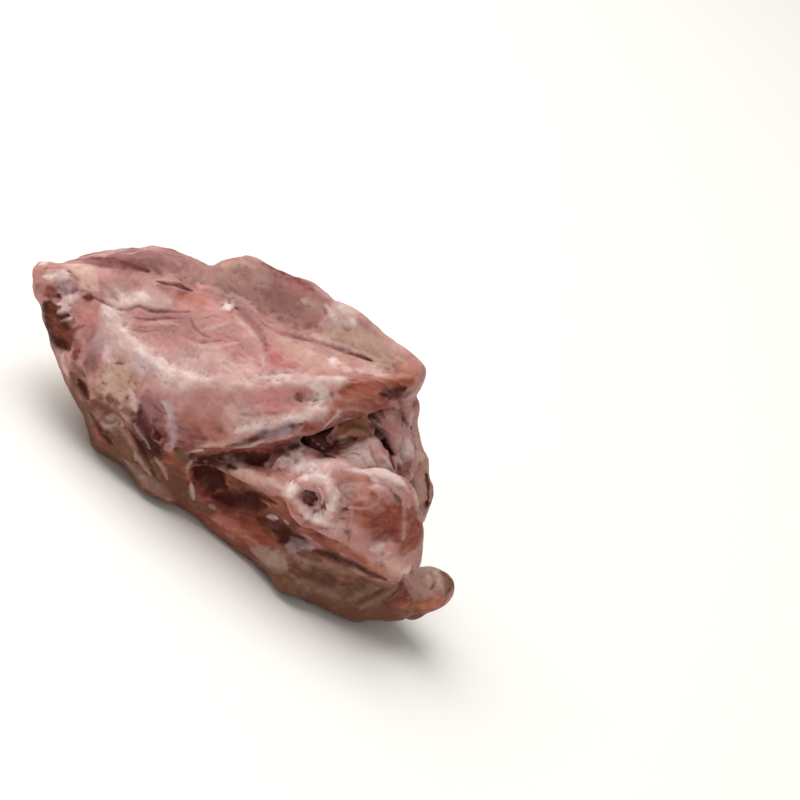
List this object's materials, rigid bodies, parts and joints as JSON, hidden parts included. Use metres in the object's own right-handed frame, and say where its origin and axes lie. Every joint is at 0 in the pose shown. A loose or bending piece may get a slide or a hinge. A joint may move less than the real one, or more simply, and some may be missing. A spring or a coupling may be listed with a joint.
{
  "type": "chicken carcass",
  "caption": "Raw chicken carcass lying on its back: a keeled breastbone, rib flanks, pelvis with hip sockets and a tail round an open body cavity",
  "frame": {"origin": "on the table, under the middle of the carcass's box, which lies on its back", "axes": "+X runs from the shoulders to the tail, +Y from the near flank to the far one, +Z from the back to the edge of the keel"},
  "size_m": [0.1986, 0.0728, 0.0991],
  "materials": {
    "raw_flesh": "damp raw meat, pinkish red and mottled, with pale fascia"
  },
  "bodies": {
    "root": {"carcass": "raw_flesh"}
  },
  "joints": []
}
